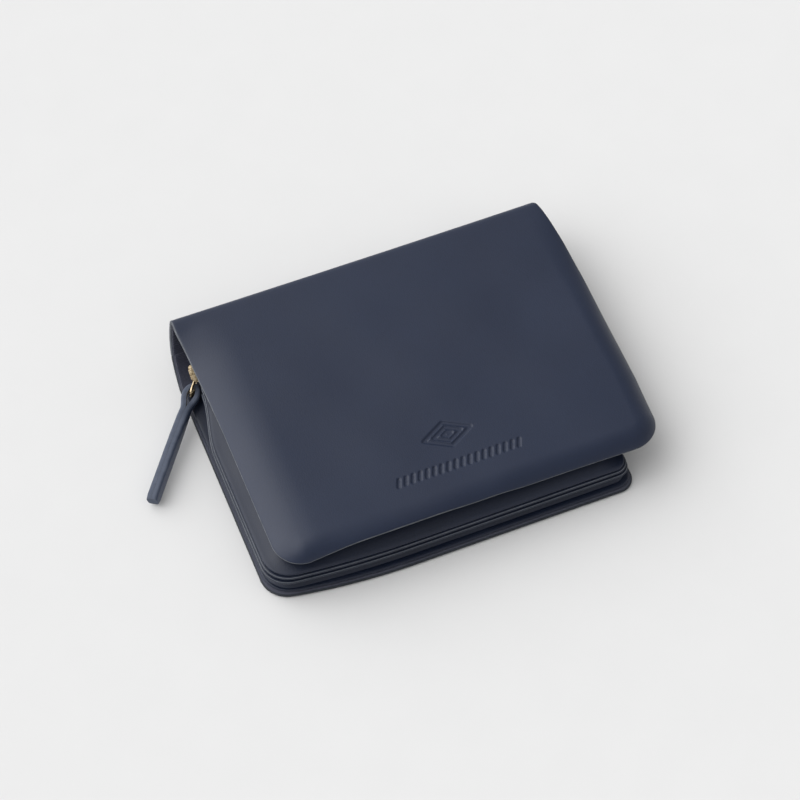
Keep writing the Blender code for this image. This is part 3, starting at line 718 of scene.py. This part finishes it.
def round_box(half_x, half_y, soft=0.25, steps=3):
    """The outline of a rectangle with round corners, anticlockwise."""
    outline = []
    for cx, cy, start in ((1, 1, 0), (-1, 1, 90), (-1, -1, 180), (1, -1, 270)):
        for step in range(steps + 1):
            angle = math.radians(start + 90 * step / steps)
            outline.append((cx * (half_x - soft) + soft * math.cos(angle),
                            cy * (half_y - soft) + soft * math.sin(angle)))
    return np.array(outline)


def tooth(centre, side):
    """One tooth: a clamp round the tape's bead, narrowing to a rounded head."""
    clamp = ((1.65, 0.30, 0.45), (1.55, 0.46, 0.68), (0.8, 0.5, 0.74), (0.45, 0.42, 0.62))
    head = ((0.1, 0.40, 0.50), (-0.3, 0.44, 0.50), (-0.45, 0.28, 0.34))
    sections = []
    for across, half_long, half_out in clamp + head:
        outline = round_box(half_long, half_out, 0.2)
        sections.append(zip_place(centre + outline[:, 0], side * across, outline[:, 1]))
    return sections


for name, side in (("front", 1), ("rear", -1)):
    points, faces = [], []
    first = ZIP_LEFT + 2.0 + (0.0 if side > 0 else 0.5 * PITCH) + 0.5
    while first < ZIP_RIGHT - 0.4:
        sections = tooth(first, side)
        faces += loft(sections, sum(len(section) for section in points))
        points += sections
        first += PITCH
    teeth = make(f"zip_teeth_brass_{name}", np.concatenate(points), faces, [BRASS], smooth_angle=35)
    place_on(teeth, "back", "brass", f"zip_teeth_{name}")

# ---------------------------------------------------------------- zip slider


def plate(outline, low, high, soft):
    """A flat plate with rounded edges, from an outline in (along, across) and two heights out."""
    middle = outline.mean(0)
    sections = []
    for out, shrink in ((low, soft), (low + soft, 0.0), (high - soft, 0.0), (high, soft)):
        inner = middle + (outline - middle) * (1.0 - shrink / 2.0)
        sections.append(zip_place(inner[:, 0], inner[:, 1], out))
    return sections


def tube(path, radius, sides=16):
    """Sections of a round wire along an open path of points."""
    path = np.asarray(path, float)
    tangent = unit(np.gradient(path, axis=0))
    side = unit(np.cross(tangent, [0.3, 0.5, 0.81]))
    up = np.cross(tangent, side)
    angle = np.linspace(0.0, math.tau, sides, endpoint=False)
    return [c + radius * (np.cos(angle)[:, None] * a + np.sin(angle)[:, None] * b)
            for c, a, b in zip(path, side, up)]


def join_lofts(name, parts, materials, smooth_angle=40):
    """One mesh of several lofted bodies."""
    points, faces = [], []
    for sections in parts:
        faces += loft(sections, sum(len(section) for section in points))
        points += list(sections)
    return make(name, np.concatenate(points), faces, materials, smooth_angle=smooth_angle)


NOSE, SLIDER_LONG, SLIDER_HALF = -56.0, 8.4, 3.0
PLATE_LOW, PLATE_HIGH = 1.0, 1.6              # the slider's two plates, out from the teeth's middle
LUG = np.array([-52.8, 33.6, 5.1])            # the middle of the eye that holds the ring
EYE_RADIUS = 1.7                              # of the slider's eye, to the middle of its wire
RING_LONG, RING_HALF, WIRE = 7.6, 1.8, 0.45
DIRECTION = unit(np.array([-0.600, -0.796, -0.055]))   # the way the ring and the pull lie
LEVEL = unit(np.array([-DIRECTION[1], DIRECTION[0], 0.0]))
UP = np.cross(DIRECTION, LEVEL)
EYE = LUG + DIRECTION * RING_LONG             # where the pull's fold holds the ring


def slider_plates():
    """The two shield-shaped plates, above and below the teeth."""
    turn = np.linspace(0.0, math.tau, 40, endpoint=False)
    along = -np.sign(np.cos(turn)) * np.abs(np.cos(turn)) ** 0.4
    width = SLIDER_HALF * (1.0 - 0.10 * smooth((-along - 0.3) / 0.7) - 0.12 * smooth((along - 0.3) / 0.7))
    outline = np.stack([NOSE + SLIDER_LONG / 2 * (1.0 + along),
                        0.4 - np.sign(np.sin(turn)) * np.abs(np.sin(turn)) ** 0.4 * width], -1)
    return [plate(outline, PLATE_LOW, PLATE_HIGH, 0.18), plate(outline, -PLATE_HIGH, -PLATE_LOW, 0.18)]


def slider_rails():
    """The plates' turned-in flanges, which hold the teeth together."""
    parts = []
    for side in (-1, 1):
        rail = np.array([[NOSE + 2.0, side * 2.0], [NOSE + 7.2, side * 1.95], [NOSE + 7.2, side * 2.4],
                         [NOSE + 2.0, side * 2.45]])[::side]
        parts += [plate(rail, 0.62, 1.2, 0.1), plate(rail, -1.2, -0.62, 0.1)]
    return parts


def slider_neck():
    """The wedge at the nose, which joins the plates and parts the teeth."""
    outline = np.array([[NOSE + 0.2, -1.0], [NOSE + 1.6, -0.2], [NOSE + 1.6, 0.2], [NOSE + 0.2, 1.0]])
    return plate(outline, -1.2, 1.2, 0.1)


def slider_crown():
    """The bridge of flat bar on the outer plate."""
    arch = np.linspace(0.0, math.pi, 13)
    crown = zip_place(NOSE + 4.0 - 2.9 * np.cos(arch), 0.0, 1.3 + 1.5 * np.sin(arch) ** 0.7)
    outward = unit(np.cross(unit(np.gradient(crown, axis=0)), ACROSS))
    bar = round_box(1.0, 0.28, 0.18)
    return [c + bar[:, :1] * ACROSS + bar[:, 1:] * o for c, o in zip(crown, outward)]


def slider_post():
    """The curved wire from the crown to the eye."""
    foot = LUG + np.array([1.7, -0.9, 0.0])
    top = zip_place(NOSE + 3.8, 0.6, 2.6)
    steps = np.linspace(0.0, 1.0, 9)[:, None]
    return tube(foot + (top - foot) * steps + LEVEL * 0.35 * np.sin(math.pi * steps), 0.48)


slider_parts = slider_plates() + slider_rails() + [slider_neck(), slider_crown(), slider_post()]
slider = join_lofts("slider_brass", slider_parts, [BRASS])
place_on(slider, "slider", "brass", "zip_slider")

# ---------------------------------------------------------------- slider's eye and wire ring


def closed_loft(sections):
    """Faces that join equal rings of points into a closed loop."""
    total, count = len(sections), len(sections[0])
    return [(row * count + k, row * count + (k + 1) % count, (row + 1) % total * count + (k + 1) % count,
             (row + 1) % total * count + k) for row in range(total) for k in range(count)]


def eye_rings():
    """The slider's eye: a flat ring of thick wire."""
    wire = round_box(0.4, 0.4, 0.22, 4)
    rings = []
    for angle in np.linspace(0.0, math.tau, 36, endpoint=False):
        radius = EYE_RADIUS + wire[:, 0]
        rings.append(LUG + np.stack([radius * math.cos(angle), radius * math.sin(angle), wire[:, 1]], -1))
    return rings


def link_rings():
    """The wire ring: two half turns joined by straight sides."""
    around = np.linspace(0.0, math.tau, 14, endpoint=False)
    rings = []
    for end in (0, 1):
        centre = LUG + DIRECTION * (RING_HALF if end == 0 else RING_LONG - RING_HALF)
        for angle in np.linspace(0.0, math.pi, 19) + math.pi * end:
            outward = -UP * math.cos(angle) - DIRECTION * math.sin(angle)
            section = np.cos(around)[:, None] * outward + np.sin(around)[:, None] * LEVEL
            rings.append(centre + outward * RING_HALF + WIRE * section)
    return rings


eye_shape = eye_rings()
lug = make("slider_lug_brass", np.concatenate(eye_shape), closed_loft(eye_shape), [BRASS])
place_on(lug, "slider", "brass", "zip_slider")
link_shape = link_rings()
ring = make("ring_brass", np.concatenate(link_shape), closed_loft(link_shape), [BRASS])
place_on(ring, "ring", "brass", "pull_ring")

# ---------------------------------------------------------------- leather pull

# One layer's thickness; half the loop's opening, its two ends from the ring, and the strap's length
LAYER, EYE_HALF, EYE_START, EYE_END, STRAP_LONG = 1.7, 1.15, -2.5, 5.5, 37.2


def strap_axes(along):
    """The directions across the strap's face and along its width, which turn slowly towards its tip."""
    tilt = np.radians(90.0 - 12.0 * smooth((along - 4.0) / 16.0))[..., None]
    return UP * np.cos(tilt) + LEVEL * np.sin(tilt), LEVEL * np.cos(tilt) - UP * np.sin(tilt)


def folded_strip():
    """The strap's middle line: along one layer to the ring, round it, and back along the other."""
    along = np.concatenate([np.linspace(STRAP_LONG, EYE_END, 24), np.linspace(EYE_END, 0.0, 14)[1:]])
    gap = np.where(along < EYE_END, EYE_HALF * (1.0 - smooth(along / EYE_END)), 0.0)
    out = gap + LAYER / 2 + 0.004
    angle = np.linspace(0.0, math.pi, 15)[1:-1]
    front_along = (EYE_START - LAYER / 2) * np.sin(angle)
    front_out = (EYE_HALF + LAYER / 2 + 0.004) * np.cos(angle)
    return np.concatenate([along, front_along, along[::-1]]), np.concatenate([out, front_out, -out[::-1]])


def strap_profile():
    """The section of one layer: round outer corners, square inner ones."""
    outer = round_box(1.0, LAYER / 2, 0.82, 6)
    inner = round_box(1.0, LAYER / 2, 0.02, 6)
    return np.where(outer[:, 1:] < 0, inner, outer)


def strap_sections(profile):
    """The layer's section at each point of its middle line, narrow at the ring and round at the tip."""
    along, out = folded_strip()
    face, width_axis = strap_axes(along)
    centre = EYE + along[:, None] * DIRECTION + out[:, None] * face
    tangent = unit(np.gradient(centre, axis=0))
    facing = unit(np.cross(width_axis, tangent))
    half_width = 0.95 + 0.95 * smooth((along - 2.0) / 7.0)
    from_tip = STRAP_LONG - along
    half_width = half_width - 0.45 * (1.0 - np.sqrt(1.0 - (1.0 - np.clip(from_tip / 1.2, 0.0, 1.0)) ** 2))
    sections = []
    for row in range(len(along)):
        outline = profile.copy()
        outline[:, 0] = np.sign(profile[:, 0]) * (half_width[row] - (1.0 - np.abs(profile[:, 0])))
        sections.append(centre[row] + outline[:, :1] * width_axis[row] + outline[:, 1:] * facing[row])
    return sections


profile = strap_profile()
sections = strap_sections(profile)
heights = (profile[:, 1] + np.roll(profile[:, 1], -1)) / LAYER
around_groups = np.where(heights > 0.8, 0, np.where(heights < -0.8, 2, 1))
groups = list(np.tile(around_groups, len(sections) - 1)) + [1, 1]
STRAP_SET = [LIT_STRAP_GRAIN, STRAP_PAINT, BROWN_SUEDE]
strap = make("pull_strap_leather", np.concatenate(sections), loft(sections), STRAP_SET, groups)
place_on(strap, "pull", "pull_leather", "pull_strap")
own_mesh(strap)

# ---------------------------------------------------------------- zip stop

STOP_START, STOP_END, STOP_HALF = ZIP_RIGHT + 0.4, ZIP_RIGHT + 2.4, 1.6
stop = np.array([[STOP_START, -STOP_HALF], [STOP_END, -STOP_HALF], [STOP_END, STOP_HALF],
                 [STOP_START, STOP_HALF]])
zip_stop = join_lofts("zip_stop_brass", [plate(stop, -0.75, 0.75, 0.2)], [BRASS])
place_on(zip_stop, "back", "brass", "zip_bottom_stop")

# ---------------------------------------------------------------- light, floor and camera
# Lengths here are in metres

WINDOW = Vector((-0.72, 0.45, 0.53))          # the side of the room that the soft light comes from
SHADE, GLOW = 0.57, 2.85                      # the room's brightness away from that side and on it
SHADE_BELOW, GLOW_ABOVE = 0.40, 0.97          # the cosines from WINDOW between which it brightens
SUN_FROM, SUN_STRENGTH, SUN_WIDTH = Vector((-0.85, 0.60, 0.95)), 0.15, math.radians(50)
FLOOR_HALF, FLOOR_DROP = 2.0, 0.0002
CAMERA_TARGET, CAMERA_DISTANCE, CAMERA_LENS = Vector((0.0013, 0.0055, 0.0)), 0.7275, 108.47
CAMERA_ELEVATION, CAMERA_AZIMUTH = math.radians(56.49), math.radians(-21.91)


def add_world():
    """A white room, brighter on one side, like a studio with one large soft window."""
    world = bpy.data.worlds.new("studio")
    scene.world = world
    world.use_nodes = True
    tree = world.node_tree
    background = tree.nodes["Background"]
    toward = tree.nodes.new("ShaderNodeTexCoord")
    facing = tree.nodes.new("ShaderNodeVectorMath")
    facing.operation = "DOT_PRODUCT"
    facing.inputs[1].default_value = WINDOW.normalized()
    fade = tree.nodes.new("ShaderNodeMapRange")
    fade.interpolation_type = "SMOOTHSTEP"
    for socket, value in zip(fade.inputs[1:5], (SHADE_BELOW, GLOW_ABOVE, SHADE, GLOW)):
        socket.default_value = value
    tree.links.new(toward.outputs["Generated"], facing.inputs[0])
    tree.links.new(facing.outputs["Value"], fade.inputs["Value"])
    tree.links.new(fade.outputs["Result"], background.inputs["Strength"])
    background.inputs["Color"].default_value = (1.0, 1.0, 1.0, 1.0)


def add_sun():
    """A faint, wide lamp from the window's side."""
    lamp = bpy.data.lights.new("sun", "SUN")
    lamp.energy = SUN_STRENGTH
    lamp.angle = SUN_WIDTH
    item = bpy.data.objects.new("sun", lamp)
    item.rotation_mode = "QUATERNION"
    item.rotation_quaternion = SUN_FROM.to_track_quat("Z", "Y")
    scene.collection.objects.link(item)


def add_floor():
    """A plain pale paper floor."""
    n = Nodes("paper_floor")
    n.finish(Base_Color=n.grey(n.noise(60.0), 0.672, 0.692), Roughness=0.9, Specular_IOR_Level=0.1)
    corners = [(x * FLOOR_HALF, y * FLOOR_HALF, 0.0) for x, y in ((-1, -1), (1, -1), (1, 1), (-1, 1))]
    mesh = bpy.data.meshes.new("floor")
    mesh.from_pydata(corners, [], [(0, 1, 2, 3)])
    mesh.materials.append(n.material)
    floor = bpy.data.objects.new("floor", mesh)
    floor.location.z = -FLOOR_DROP
    scene.collection.objects.link(floor)


def add_camera():
    """The view from above, front left."""
    level = math.cos(CAMERA_ELEVATION)
    backward = Vector((math.sin(CAMERA_AZIMUTH) * level, -math.cos(CAMERA_AZIMUTH) * level,
                       math.sin(CAMERA_ELEVATION)))
    data = bpy.data.cameras.new("camera")
    data.lens = CAMERA_LENS
    data.sensor_width = 36.0
    camera = bpy.data.objects.new("camera", data)
    camera.rotation_mode = "QUATERNION"
    camera.location = CAMERA_TARGET + backward * CAMERA_DISTANCE
    camera.rotation_quaternion = (-backward).to_track_quat("-Z", "Y")
    scene.collection.objects.link(camera)
    scene.camera = camera


add_world()
add_sun()
add_floor()
add_camera()
scene.view_settings.view_transform = "Standard"
